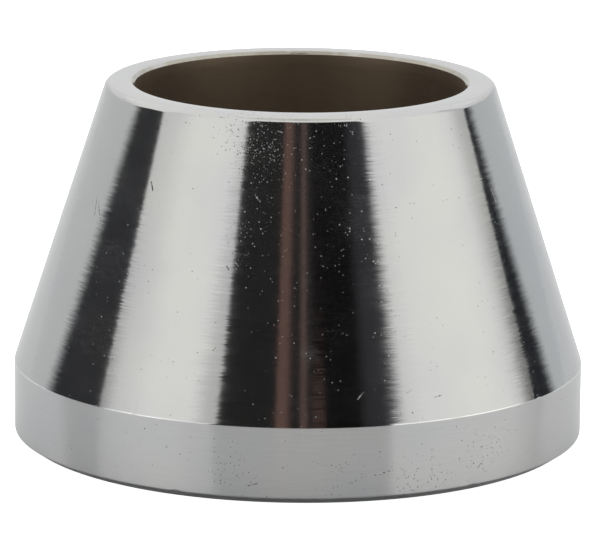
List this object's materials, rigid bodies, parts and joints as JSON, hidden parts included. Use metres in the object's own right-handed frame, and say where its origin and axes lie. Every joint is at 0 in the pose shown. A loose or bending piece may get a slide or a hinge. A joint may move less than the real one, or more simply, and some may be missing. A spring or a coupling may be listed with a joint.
{
  "type": "concentric reducer",
  "caption": "Bright plated steel ring that joins a larger pipe to a smaller one: a short land, a straight cone and a bored conical passage.",
  "frame": {"origin": "centre of the large end face, which the part stands on", "axes": "+Z along the axis of the ring, from the large end to the small end; the ring is the same all round, so X and Y are free"},
  "size_m": [0.0888, 0.0888, 0.0559],
  "materials": {
    "plated_steel": "bright plated over fine turning marks, bore left dark satin"
  },
  "bodies": {
    "root": {"reducer_body": "plated_steel"}
  },
  "joints": []
}
